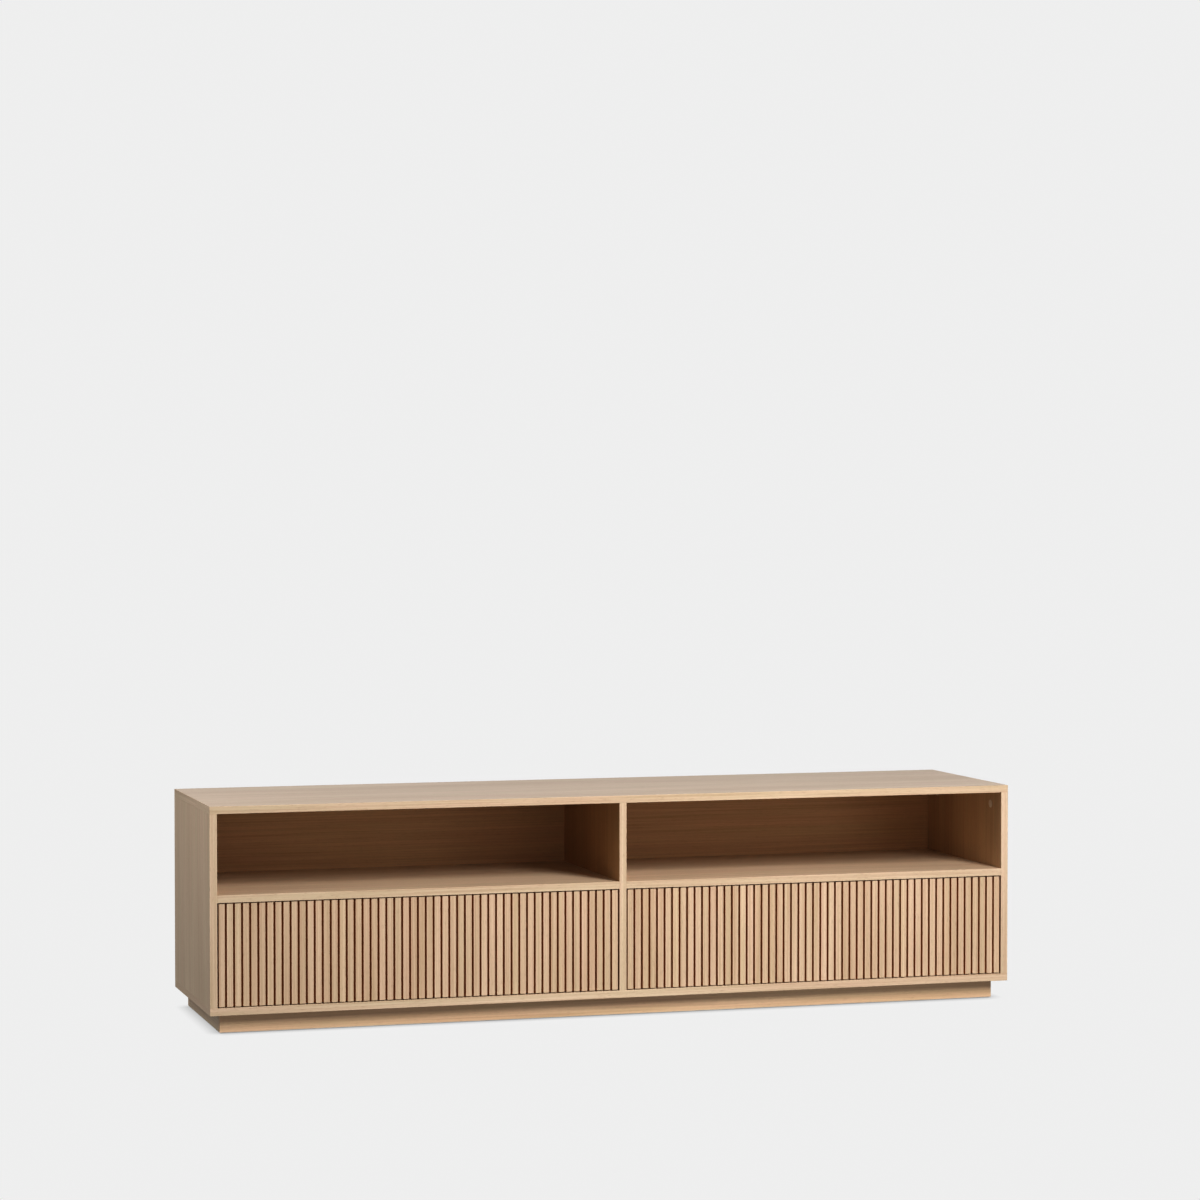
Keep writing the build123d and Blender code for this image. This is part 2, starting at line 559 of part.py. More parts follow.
# Each board: its middle (x, y, z) and its size, without the lipping
CORE_Y = LIPPING / 2
CORE_DEPTH = DEPTH - LIPPING
SHELF_DEPTH = BACK_FRONT - FRONT - LIPPING
BOARDS = {
    "top_panel": ((0, CORE_Y, HEIGHT - BOARD / 2), (WIDTH - 2 * LIPPING, CORE_DEPTH, BOARD)),
    "bottom_panel": ((0, CORE_Y, FLOOR_TOP - BOARD / 2), (WIDTH - 2 * LIPPING, CORE_DEPTH, BOARD)),
    "left_side_panel": ((-SIDE_X, CORE_Y, UPRIGHT_MID), (BOARD, CORE_DEPTH, UPRIGHT_HEIGHT)),
    "right_side_panel": ((SIDE_X, CORE_Y, UPRIGHT_MID), (BOARD, CORE_DEPTH, UPRIGHT_HEIGHT)),
    "centre_divider": ((0, CORE_Y, UPRIGHT_MID), (BOARD, CORE_DEPTH, UPRIGHT_HEIGHT)),
    "left_shelf": ((-BAY_X, BACK_FRONT - SHELF_DEPTH / 2, SHELF_MID), (BAY_WIDTH, SHELF_DEPTH, BOARD)),
    "right_shelf": ((BAY_X, BACK_FRONT - SHELF_DEPTH / 2, SHELF_MID), (BAY_WIDTH, SHELF_DEPTH, BOARD)),
}

LET_IN = (back_grooves, dowels, cam_bores, cam_bolts, runner_screws, plinth_screws, latch_screws)

for name, (middle, (length, depth, height)) in BOARDS.items():
    with BuildPart() as board:  # cut to size, grooved for the backs and drilled for the fittings
        with BuildSketch(Plane(middle).offset(-height / 2)):
            Rectangle(length, depth)
        extrude(amount=height)
        for let_in in LET_IN:
            add(let_in.part, mode=Mode.SUBTRACT)
    keep(board.part, name)

# Strips of lipping: the middle and the size (x, z) of each one on a front edge
FRONT_STRIPS = [((0, z), (WIDTH, BOARD)) for z in (FLOOR_TOP - BOARD / 2, HEIGHT - BOARD / 2)]
FRONT_STRIPS += [((x, UPRIGHT_MID), (BOARD, UPRIGHT_HEIGHT)) for x in (-SIDE_X, 0, SIDE_X)]
FRONT_STRIPS += [((side * BAY_X, SHELF_MID), (BAY_WIDTH, BOARD)) for side, _ in HANDS]

strips = []
for middle, size in FRONT_STRIPS:
    with BuildPart() as strip:
        with BuildSketch(Plane.XZ.offset(-FRONT)):
            with Locations(middle):
                Rectangle(*size)
        extrude(amount=-LIPPING)
    strips.append(strip.part)
for end_x in (-WIDTH / 2, WIDTH / 2 - LIPPING):  # and on the ends of the top and bottom panels
    for z in (FLOOR_TOP - BOARD / 2, HEIGHT - BOARD / 2):
        with BuildPart() as strip:
            with BuildSketch(Plane.YZ.offset(end_x)):
                with Locations((CORE_Y, z)):
                    Rectangle(CORE_DEPTH, BOARD)
            extrude(amount=LIPPING)
        strips.append(strip.part)
keep(Compound(children=strips), "edge_lipping")
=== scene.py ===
import math

import bmesh
import bpy
from bpy.props import FloatProperty, FloatVectorProperty, PointerProperty, StringProperty
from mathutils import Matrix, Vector


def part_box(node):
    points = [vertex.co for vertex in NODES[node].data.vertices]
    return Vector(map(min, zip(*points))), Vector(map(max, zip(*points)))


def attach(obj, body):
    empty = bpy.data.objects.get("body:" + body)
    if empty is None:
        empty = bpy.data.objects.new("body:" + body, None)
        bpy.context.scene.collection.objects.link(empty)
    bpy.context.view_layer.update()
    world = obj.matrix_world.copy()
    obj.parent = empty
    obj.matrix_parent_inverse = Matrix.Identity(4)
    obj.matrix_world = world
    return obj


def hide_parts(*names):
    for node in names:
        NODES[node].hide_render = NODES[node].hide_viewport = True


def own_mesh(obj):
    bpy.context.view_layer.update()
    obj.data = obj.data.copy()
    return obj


bl_info = {
    "name": "Media cabinet",
    "version": (1, 0, 0),
    "blender": (4, 5, 0),
    "location": "3D View > Sidebar > Cabinet",
    "description": "Finishes the oak media cabinet and sets its studio stage",
    "category": "Object",
}

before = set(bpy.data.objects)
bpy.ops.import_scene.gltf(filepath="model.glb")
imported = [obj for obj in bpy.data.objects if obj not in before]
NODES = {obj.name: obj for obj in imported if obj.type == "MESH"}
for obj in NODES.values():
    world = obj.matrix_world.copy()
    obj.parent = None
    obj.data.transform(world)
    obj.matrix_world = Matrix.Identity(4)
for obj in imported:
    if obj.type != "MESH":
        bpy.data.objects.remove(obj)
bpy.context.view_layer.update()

MM = 0.001

SLATS = 51  # on each drawer front
GROOVE = 4 * MM  # between two slats

SPRING_TURNS = 7  # of each latch's spring
WIRE_RADIUS = 0.45 * MM
WIRE_SIDES = 8  # faces round the wire
STEPS_PER_TURN = 24

SENSOR_WIDTH = 36.0  # of the camera, in millimetres
TABLE_REACH = 400.0  # metres from the cabinet to the light table's nearest edge, about
SHADOW_WIDTH = 32 * MM  # of the faint contact shadow, two fingers
SHADOW_LEVEL = 0.45  # the share of the table's glow that is left where the shadow is deepest


def linear(hex_colour):
    """An sRGB hex colour such as #D9BB99 as a linear RGBA colour."""
    channels = [int(hex_colour[i : i + 2], 16) / 255 for i in (1, 3, 5)]
    return tuple(c / 12.92 if c <= 0.04045 else ((c + 0.055) / 1.055) ** 2.4 for c in channels) + (1.0,)


# ------------------------------------------------------------------------------------ settings
class CabinetFinish(bpy.types.PropertyGroup):
    """Colours and finish of the cabinet."""

    oak_light: StringProperty(
        name="Oak, pale", description="Colour of the early wood, sRGB hex", default="#E2CDB6"
    )
    oak_dark: StringProperty(
        name="Oak, deep", description="Colour of the late wood, sRGB hex", default="#CCB39A"
    )
    oak_pore: StringProperty(
        name="Oak pores", description="Colour of the open pores, sRGB hex", default="#A5886E"
    )
    sheen_roughness: FloatProperty(
        name="Lacquer roughness",
        description="Roughness of the satin lacquer",
        default=0.42,
        min=0.05,
        max=1.0,
        subtype="FACTOR",
    )
    edge_rounding: FloatProperty(
        name="Edge rounding",
        description="Radius that the solid edging is eased to",
        default=0.45 * MM,
        min=0.1 * MM,
        max=2 * MM,
        unit="LENGTH",
    )


class CabinetStage(bpy.types.PropertyGroup):
    """Camera and lights."""

    camera_place: FloatVectorProperty(
        name="Camera place",
        description="Where the camera stands, from the middle of the cabinet on the floor",
        default=(-2.0986, -7.0348, 1.1238),
        unit="LENGTH",
        subtype="TRANSLATION",
    )
    camera_heading: FloatProperty(
        name="Camera heading",
        description="How far the camera is turned to the right of straight at the front",
        default=0.29175,
        subtype="ANGLE",
    )
    camera_tilt: FloatProperty(
        name="Camera tilt",
        description="How far the camera looks down",
        default=0.0311,
        subtype="ANGLE",
    )
    lens: FloatProperty(
        name="Lens", description="Focal length on a 36 mm sensor, in millimetres", default=99.41, min=10
    )
    backdrop_colour: StringProperty(
        name="Backdrop",
        description="Grey of the floor and of what lies behind it, sRGB hex",
        default="#F3F3F3",
    )
    room_light: FloatProperty(
        name="Room light", description="Strength of the even light around", default=0.28, min=0
    )
    table_light: FloatProperty(
        name="Table light", description="Strength of the light that the floor sheds", default=0.33, min=0
    )
    key_power: FloatProperty(
        name="Key light", description="Power of the large softbox in front", default=72.5, min=0, unit="POWER"
    )
    key_place: FloatVectorProperty(
        name="Key place",
        description="Where the softbox stands, from the middle of the cabinet on the floor",
        default=(1.25, -3.2, 2.45),
        unit="LENGTH",
        subtype="TRANSLATION",
    )
    fill_power: FloatProperty(
        name="Fill light", description="Power of the soft light at the left", default=5.3, min=0, unit="POWER"
    )
    low_power: FloatProperty(
        name="Low light", description="Power of the soft light low in front", default=6.0, min=0, unit="POWER"
    )
    back_power: FloatProperty(
        name="Back light", description="Power of the soft light behind", default=58.0, min=0, unit="POWER"
    )
    view_gamma: FloatProperty(
        name="Contrast", description="Gamma of the view, below 1 for deeper shade", default=0.72, min=0.2
    )


# ------------------------------------------------------------------------------------ helpers
def node(tree, kind, settings=None, **links):
    """Adds a shader node: settings are its properties and its sockets' values, links feed its inputs.

    A socket is named as in Blender, with _ for a space, or as in_0, in_1 where names repeat.
    """
    made = tree.nodes.new(kind)
    for key, value in (settings or {}).items():
        if isinstance(key, str) and hasattr(made, key):
            setattr(made, key, value)
        else:
            made.inputs[key].default_value = value
    for key, source in links.items():
        socket = made.inputs[int(key[3:])] if key.startswith("in_") else made.inputs[key.replace("_", " ")]
        tree.links.new(source, socket)
    return made


def new_material(name):
    """An empty node material with its surface shader."""
    material = bpy.data.materials.new(name)
    material.use_nodes = True
    tree = material.node_tree
    tree.nodes.clear()
    shader = tree.nodes.new("ShaderNodeBsdfPrincipled")
    output = tree.nodes.new("ShaderNodeOutputMaterial")
    tree.links.new(shader.outputs["BSDF"], output.inputs["Surface"])
    return material, tree, shader


def dress(node_name, material):
    """Gives a carried-over CAD node its finish."""
    data = NODES[node_name].data
    data.materials.clear()
    data.materials.append(material)


def finished_piece(name, shape, materials):
    """Turns a bmesh into an object with its materials, and puts it in the scene."""
    data = bpy.data.meshes.new(name)
    shape.to_mesh(data)
    shape.free()
    for material in materials:
        data.materials.append(material)
    piece = bpy.data.objects.new(name, data)
    bpy.context.scene.collection.objects.link(piece)
    return piece


def eased_boxes(name, boxes, materials, radius):
    """One mesh of boxes with eased edges. Each box is (low, high, index of its material)."""
    shape = bmesh.new()
    for low, high, index in boxes:
        corners = [
            shape.verts.new((x, y, z))
            for x in (low[0], high[0])
            for y in (low[1], high[1])
            for z in (low[2], high[2])
        ]
        for ring in ((0, 1, 3, 2), (4, 6, 7, 5), (0, 4, 5, 1), (2, 3, 7, 6), (0, 2, 6, 4), (1, 5, 7, 3)):
            shape.faces.new([corners[i] for i in ring]).material_index = index
    bmesh.ops.bevel(shape, geom=shape.edges[:], offset=radius, segments=2, profile=0.5, affect="EDGES")
    bmesh.ops.recalc_face_normals(shape, faces=shape.faces[:])
    return finished_piece(name, shape, materials)


def coil_spring(name, low, high, turns, wire, material):
    """A spring of round wire, `wire` in radius, coiled along Y to fill the box from low to high."""
    middle = (low + high) / 2
    radius = (high.x - low.x) / 2 - wire
    length = high.y - low.y - 2 * wire
    steps = STEPS_PER_TURN * turns
    lengthways = Vector((0, 1, 0))
    around = [math.tau * side / WIRE_SIDES for side in range(WIRE_SIDES)]
    shape = bmesh.new()
    rings = []
    for step in range(steps + 1):
        turn = math.tau * turns * step / steps
        outwards = Vector((math.cos(turn), 0, math.sin(turn)))
        centre = Vector((middle.x, low.y + wire + length * step / steps, middle.z)) + radius * outwards
        ring = [centre + wire * (math.cos(a) * outwards + math.sin(a) * lengthways) for a in around]
        rings.append([shape.verts.new(point) for point in ring])
    for near, far in zip(rings, rings[1:]):
        for side in range(WIRE_SIDES):
            after = (side + 1) % WIRE_SIDES
            shape.faces.new((near[side], near[after], far[after], far[side])).smooth = True
    shape.faces.new(rings[0])
    shape.faces.new(rings[-1])
    bmesh.ops.recalc_face_normals(shape, faces=shape.faces[:])
    return finished_piece(name, shape, [material])


# ------------------------------------------------------------------------------------ materials
RUNS = {"x": 0, "y": 1, "z": 2}
OAK_PINK = "#FFFCFB"  # what the pinker and the greyer leaves are tinted by
OAK_GREY = "#F8FBF5"
GROOVE_PAINTED_SHADE = "#BC8654"  # painted shade of the drawer fronts' grooves, where the slats' flanks and the board behind lie in shade
BIRCH = ("#EADDC8", "#DCC9AA")  # each plain wood's pale and deep bands
PINE = ("#E6D0AC", "#D2B183")
BEECH = ("#DDB98A", "#C79E6C")
ZINC = "#B9BCC0"

# the oak's patterns: how far each runs along the grain, and how wide it is across it
RINGS = (420 * MM, 3.5 * MM)  # growth rings, almost straight
DRIFT = (700 * MM, 60 * MM)  # a slow change of tone, a hand wide
PORES = (16 * MM, 1.2 * MM)  # really 0.3 mm wide, drawn wider so that they show
LEAN = (380 * MM, 19 * MM)  # bands of the leaves that lean to pink or to grey-green
FLECKS = (6 * MM, 3 * MM)  # the cut rays, really 1 mm wide, drawn wider so that they show

# how some boards and faces are laid on lighter, darker, warmer or cooler than the plain oak, as linear
# factors of red, green and blue: painted light and shade, for how the light falls on them
# painted light: the top darker and greyer, for how it is lit and the pale sheen it shows at a grazing angle
TOP_PAINTED_LIGHT = (0.88, 0.9, 0.965)
# painted light: the shelves a little lighter, for the light that reaches their tops
SHELF_PAINTED_LIGHT = (1.04, 1.04, 1.05)
# painted shade: the divider deeper and redder, for the shade inside the bays on both its faces
DIVIDER_PAINTED_SHADE = (0.76, 0.57, 0.38)
# painted light: the plinth's rails lighter and warmer, lifting the shade under the cabinet's overhang
PLINTH_PAINTED_LIGHT = (1.12, 1.04, 0.96)
BACK_PAINTED_SHADE = (1.1, 0.92, 0.71)  # painted shade, deeper and redder, on the faces that look into the open bays
# painted shade on the side panels' faces that look into the bays, deeper and redder
LEFT_PAINTED_SHADE = (0.79, 0.63, 0.47)
RIGHT_PAINTED_SHADE = (0.95, 0.82, 0.66)

# a Mix node that multiplies one colour by another
TINTING = {"data_type": "RGBA", "blend_type": "MULTIPLY", 0: 1.0}


def set_stops(ramp, first, last, *between):
    """Sets a colour ramp's stops, each a position from 0 to 1 and an sRGB hex colour."""
    elements = ramp.color_ramp.elements
    for element, (position, colour) in zip(elements, (first, last)):
        element.position = position
        element.color = linear(colour)
    for position, colour in between:
        elements.new(position).color = linear(colour)


def grain_space(tree, run, along, across, shift=0.0):
    """Coordinates stretched along the grain: one unit is `along` metres with it, `across` metres over it."""
    scale = [1 / across] * 3
    scale[RUNS[run]] = 1 / along
    place = node(tree, "ShaderNodeTexCoord")
    return node(
        tree,
        "ShaderNodeMapping",
        {"Scale": scale, "Location": (shift, shift * 1.7, shift * 2.3)},
        Vector=place.outputs["Object"],
    ).outputs["Vector"]


def oak(name, run, light, dark, pore, roughness, shift=0.0, speckle=0.35, gloss=0.5, tone=None):
    """Satin lacquered oak: straight pale grain with fine pores, under a thin dull varnish.

    The growth rings give soft bands a few millimetres wide, the wood's leaves differ a little in tone over
    a hand's width, and the pores are short darker dashes. run is the axis that the grain follows, and shift
    moves the figure, so that no two boards are alike. speckle is how dark the pores are, gloss is how much
    the varnish shines, and tone changes the colour before it is laid on.
    """
    material, tree, shader = new_material(name)
    rings = node(
        tree,
        "ShaderNodeTexNoise",
        {"Scale": 1.0, "Detail": 5.0, "Roughness": 0.62, "Distortion": 0.35},
        Vector=grain_space(tree, run, *RINGS, shift),
    ).outputs["Fac"]
    drift = node(
        tree,
        "ShaderNodeTexNoise",
        {"Scale": 1.0, "Detail": 2.0, "Roughness": 0.5},
        Vector=grain_space(tree, run, *DRIFT, shift + 3.1),
    ).outputs["Fac"]
    pores = node(
        tree,
        "ShaderNodeTexNoise",
        {"Scale": 1.0, "Detail": 2.0, "Roughness": 0.7},
        Vector=grain_space(tree, run, *PORES, shift + 7.7),
    ).outputs["Fac"]
    # the rings and the drift together choose between the early and the late wood
    figure = node(
        tree, "ShaderNodeMath", {"operation": "MULTIPLY_ADD", 1: 0.45}, in_0=drift, in_2=rings
    ).outputs["Value"]
    wood = node(tree, "ShaderNodeValToRGB", Fac=figure)
    set_stops(wood, (0.54, light), (0.92, dark))
    lean = node(
        tree,
        "ShaderNodeTexNoise",
        {"Scale": 1.0, "Detail": 3.0, "Roughness": 0.6},
        Vector=grain_space(tree, run, *LEAN, shift + 5.3),
    ).outputs["Fac"]
    flecks = node(
        tree,
        "ShaderNodeTexNoise",
        {"Scale": 1.0, "Detail": 2.0, "Roughness": 0.8},
        Vector=grain_space(tree, run, *FLECKS, shift + 9.9),
    ).outputs["Fac"]
    hue = node(
        tree, "ShaderNodeMath", {"operation": "MULTIPLY_ADD", 1: 0.55}, in_0=flecks, in_2=lean
    ).outputs["Value"]
    hints = node(tree, "ShaderNodeValToRGB", Fac=hue)
    set_stops(hints, (0.6, OAK_PINK), (0.95, OAK_GREY))
    leaf = node(
        tree, "ShaderNodeMix", TINTING, in_6=wood.outputs["Color"], in_7=hints.outputs["Color"]
    ).outputs[2]
    pore_mask = node(
        tree, "ShaderNodeMapRange", {"From Min": 0.56, "From Max": 0.74, "To Max": speckle}, Value=pores
    ).outputs["Result"]
    coloured = node(
        tree, "ShaderNodeMix", {"data_type": "RGBA", 7: linear(pore)}, in_0=pore_mask, in_6=leaf
    ).outputs[2]
    if tone:
        coloured = tone(tree, coloured)
    tree.links.new(coloured, shader.inputs["Base Color"])
    # the varnish sinks into the pores, which are duller than the wood between them
    dulled = node(
        tree, "ShaderNodeMapRange", {"To Min": roughness - 0.05, "To Max": roughness + 0.12}, Value=pores
    ).outputs["Result"]
    tree.links.new(dulled, shader.inputs["Roughness"])
    shader.inputs["IOR"].default_value = 1.5
    shader.inputs["Specular IOR Level"].default_value = gloss
    relief = node(
        tree, "ShaderNodeBump", {"Strength": 0.25, "Distance": 0.15 * MM, "invert": True}, Height=pores
    )
    tree.links.new(relief.outputs["Normal"], shader.inputs["Normal"])
    return material


def painted_groove_shade(tree, colour, facing):
    """Painted shade: the faces that look along an axis take a dark brown, so that the grooves between the
    slats read as dark lines.
    """
    normal = node(tree, "ShaderNodeTexCoord").outputs["Normal"]
    along = node(tree, "ShaderNodeSeparateXYZ", Vector=normal).outputs[facing]
    towards = node(tree, "ShaderNodeMath", {"operation": "ABSOLUTE"}, in_0=along).outputs["Value"]
    mask = node(
        tree, "ShaderNodeMapRange", {"From Min": 0.72, "From Max": 0.9}, Value=towards
    ).outputs["Result"]
    return node(
        tree, "ShaderNodeMix", {"data_type": "RGBA", 7: linear(GROOVE_PAINTED_SHADE)}, in_0=mask, in_6=colour
    ).outputs[2]


def slat_tone_and_groove_shade(start, pitch):
    """Each slat is cut from another piece of wood, so its tone jumps from slat to slat; its flanks take the
    painted groove shade.
    """

    def tone(tree, colour):
        place = node(tree, "ShaderNodeTexCoord").outputs["Object"]
        across = node(tree, "ShaderNodeSeparateXYZ", Vector=place).outputs["X"]
        count = node(
            tree,
            "ShaderNodeMath",
            {"operation": "MULTIPLY_ADD", 1: 1 / pitch, 2: -start / pitch},
            in_0=across,
        ).outputs["Value"]
        number = node(tree, "ShaderNodeMath", {"operation": "FLOOR"}, in_0=count).outputs["Value"]
        luck = node(tree, "ShaderNodeTexWhiteNoise", {"noise_dimensions": "1D"}, W=number).outputs["Value"]
        tints = node(tree, "ShaderNodeValToRGB", Fac=luck)
        set_stops(tints, (0, OAK_PINK), (1, "#FFFEFA"), (0.35, "#FCF9F8"), (0.7, "#F8F5F2"))
        face = node(tree, "ShaderNodeMix", TINTING, in_6=colour, in_7=tints.outputs["Color"]).outputs[2]
        # the slats' flanks take painted shade, dark brown
        return painted_groove_shade(tree, face, "X")

    return tone


def plain_wood(name, run, light, dark, roughness, band):
    """A plain pale wood such as birch, beech or pine, with soft bands `band` metres wide."""
    material, tree, shader = new_material(name)
    bands = node(
        tree,
        "ShaderNodeTexNoise",
        {"Scale": 1.0, "Detail": 4.0, "Roughness": 0.6, "Distortion": 0.6},
        Vector=grain_space(tree, run, band * 40, band),
    ).outputs["Fac"]
    wood = node(tree, "ShaderNodeValToRGB", Fac=bands)
    set_stops(wood, (0.3, light), (0.75, dark))
    tree.links.new(wood.outputs["Color"], shader.inputs["Base Color"])
    shader.inputs["Roughness"].default_value = roughness
    shader.inputs["Specular IOR Level"].default_value = 0.3
    relief = node(tree, "ShaderNodeBump", {"Strength": 0.15, "Distance": 0.1 * MM}, Height=bands)
    tree.links.new(relief.outputs["Normal"], shader.inputs["Normal"])
    return material


def metal(name, colour, roughness, brush):
    """Zinc plated or bare steel: dull grey, rolled lengthways, so its gloss has streaks `brush` wide."""
    material, tree, shader = new_material(name)
    streaks = node(
        tree,
        "ShaderNodeTexNoise",
        {"Scale": 1.0, "Detail": 3.0, "Roughness": 0.6},
        Vector=grain_space(tree, "y", 60 * brush, brush),
    ).outputs["Fac"]
    dulled = node(
        tree, "ShaderNodeMapRange", {"To Min": roughness - 0.08, "To Max": roughness + 0.12}, Value=streaks
    ).outputs["Result"]
    tree.links.new(dulled, shader.inputs["Roughness"])
    shader.inputs["Base Color"].default_value = linear(colour)
    shader.inputs["Metallic"].default_value = 1.0
    relief = node(tree, "ShaderNodeBump", {"Strength": 0.1, "Distance": 0.05 * MM}, Height=streaks)
    tree.links.new(relief.outputs["Normal"], shader.inputs["Normal"])
    return material


def moulded(name, colour, roughness, grit):
    """Moulded plastic: even colour with the fine grit of a spark-eroded mould, `grit` metres wide."""
    material, tree, shader = new_material(name)
    texture = node(
        tree,
        "ShaderNodeTexNoise",
        {"Scale": 1.0, "Detail": 2.0},
        Vector=grain_space(tree, "x", grit, grit),
    ).outputs["Fac"]
    shader.inputs["Base Color"].default_value = linear(colour)
    shader.inputs["Roughness"].default_value = roughness
    relief = node(tree, "ShaderNodeBump", {"Strength": 0.2, "Distance": 0.05 * MM}, Height=texture)
    tree.links.new(relief.outputs["Normal"], shader.inputs["Normal"])
    return material


def oak_for(name, run, **settings):
    """Oak in the cabinet's own colours."""
    finish = bpy.context.scene.cabinet_finish
    return oak(
        name, run, finish.oak_light, finish.oak_dark, finish.oak_pore, finish.sheen_roughness, **settings
    )


def painted_light_tint(tint):
    """Painted light and shade: a whole board laid on a little lighter, darker, cooler or warmer than the
    rest, for how the light falls on it.
    """

    def tone(tree, colour):
        return node(tree, "ShaderNodeMix", {**TINTING, 7: (*tint, 1.0)}, in_6=colour).outputs[2]

    return tone


def painted_bay_shade(tint, axis, way):
    """Painted shade: one face of the veneer is laid on deeper and redder, for the shade and the warm bounced
    light inside the open bays.

    Only the face that looks along the axis that way, +1 or -1, takes the painted shade.
    """

    def tone(tree, colour):
        normal = node(tree, "ShaderNodeTexCoord").outputs["Normal"]
        along = node(tree, "ShaderNodeSeparateXYZ", Vector=normal).outputs[axis]
        inner = node(
            tree, "ShaderNodeMapRange", {"From Min": 0.4 * way, "From Max": 0.6 * way}, Value=along
        ).outputs["Result"]
        return node(
            tree, "ShaderNodeMix", {**TINTING, 7: (*tint, 1.0)}, in_0=inner, in_6=colour
        ).outputs[2]

    return tone


# ------------------------------------------------------------------------------------ operators
class CABINET_OT_panels(bpy.types.Operator):
    """Veneers the boards of the cabinet, each with its grain running the way that it was cut"""

    bl_idname = "cabinet.panels"
    bl_label = "Veneer the boards"

    def execute(self, context):
        dress("bottom_panel", oak_for("oak_veneer_bottom", "x"))
        # the top takes painted light, darker and greyer than the rest
        dress("top_panel", oak_for("oak_veneer_top", "x", shift=2.0, tone=painted_light_tint(TOP_PAINTED_LIGHT)))
        # the shelves take painted light, a little lighter than the rest
        for name, shift in (("left_shelf", 7.0), ("right_shelf", 9.0)):
            dress(name, oak_for(f"oak_veneer_{name}", "x", shift=shift, tone=painted_light_tint(SHELF_PAINTED_LIGHT)))
        # the backs' faces that look into the bays take painted shade
        backs = oak_for("oak_veneer_backs", "x", shift=5.0, tone=painted_bay_shade(BACK_PAINTED_SHADE, "Y", -1))
        for name in ("left_back_panel", "right_back_panel"):
            dress(name, backs)
        # the sides' faces that look into the bays take painted shade
        left = oak_for("oak_veneer_left_side", "z", shift=11.0, tone=painted_bay_shade(LEFT_PAINTED_SHADE, "X", 1))
        dress("left_side_panel", left)
        right = oak_for("oak_veneer_right_side", "z", shift=17.0, tone=painted_bay_shade(RIGHT_PAINTED_SHADE, "X", -1))
        dress("right_side_panel", right)
        # the divider takes painted shade, deeper and redder on both faces
        divider = oak_for("oak_veneer_divider", "z", shift=13.0, tone=painted_light_tint(DIVIDER_PAINTED_SHADE))
        dress("centre_divider", divider)
        return {"FINISHED"}


class CABINET_OT_edging(bpy.types.Operator):
    """Glues eased strips of solid oak to the boards' front edges and to the ends of the top and bottom"""

    bl_idname = "cabinet.edging"
    bl_label = "Edge the boards"

    def execute(self, context):
        outer_low, outer_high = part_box("edge_lipping")
        materials = [
            oak_for("oak_edging_lengthways", "x", shift=21.0, speckle=0.5),
            oak_for("oak_edging_upright", "z", shift=23.0, speckle=0.5),
            oak_for("oak_edging_across", "y", shift=27.0, speckle=0.5),
        ]
        boxes = []  # each with the number of its material in that list
        for name in ("top_panel", "bottom_panel"):
            low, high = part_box(name)
            boxes.append(((outer_low.x, outer_low.y, low.z), (outer_high.x, low.y, high.z), 0))
            boxes.append(((outer_low.x, low.y, low.z), (low.x, high.y, high.z), 2))
            boxes.append(((high.x, low.y, low.z), (outer_high.x, high.y, high.z), 2))
        for name in ("left_shelf", "right_shelf"):
            low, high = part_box(name)
            boxes.append(((low.x, outer_low.y, low.z), (high.x, low.y, high.z), 0))
        for name in ("left_side_panel", "right_side_panel", "centre_divider"):
            low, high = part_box(name)
            boxes.append(((low.x, outer_low.y, low.z), (high.x, low.y, high.z), 1))
        rounding = context.scene.cabinet_finish.edge_rounding
        edging = eased_boxes("oak_edging", boxes, materials, rounding)
        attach(edging, "carcass")
        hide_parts("edge_lipping")
        return {"FINISHED"}


class CABINET_OT_fronts(bpy.types.Operator):
    """Finishes the slatted drawer fronts and the boards behind the slats, with painted shade in the grooves
    between them
    """

    bl_idname = "cabinet.fronts"
    bl_label = "Finish the drawer fronts"

    def execute(self, context):
        # the board's face between the slats takes painted shade, dark brown
        backing = oak_for(
            "oak_backing_board_painted_shade", "x", gloss=0.2, tone=lambda tree, colour: painted_groove_shade(tree, colour, "Y")
        )
        for hand, shift in (("left", 31.0), ("right", 37.0)):
            low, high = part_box(f"{hand}_front_slats")
            pitch = (high.x - low.x + GROOVE) / SLATS
            tone = slat_tone_and_groove_shade(low.x - GROOVE / 2, pitch)
            slats = oak_for(f"oak_slats_{hand}", "z", shift=shift, speckle=0.45, gloss=0.2, tone=tone)
            dress(f"{hand}_front_slats", slats)
            dress(f"{hand}_front_board", backing)
        return {"FINISHED"}


class CABINET_OT_boxes(bpy.types.Operator):
    """Finishes the drawer boxes, lacquered birch plywood"""

    bl_idname = "cabinet.boxes"
    bl_label = "Finish the drawer boxes"

    def execute(self, context):
        lengthways = plain_wood("birch_lengthways", "x", *BIRCH, roughness=0.5, band=7 * MM)
        across = plain_wood("birch_across", "y", *BIRCH, roughness=0.5, band=7 * MM)
        for hand in ("left", "right"):
            for name in ("box_front", "box_back", "box_bottom"):
                dress(f"{hand}_{name}", lengthways)
            for name in ("box_left_side", "box_right_side"):
                dress(f"{hand}_{name}", across)
        return {"FINISHED"}


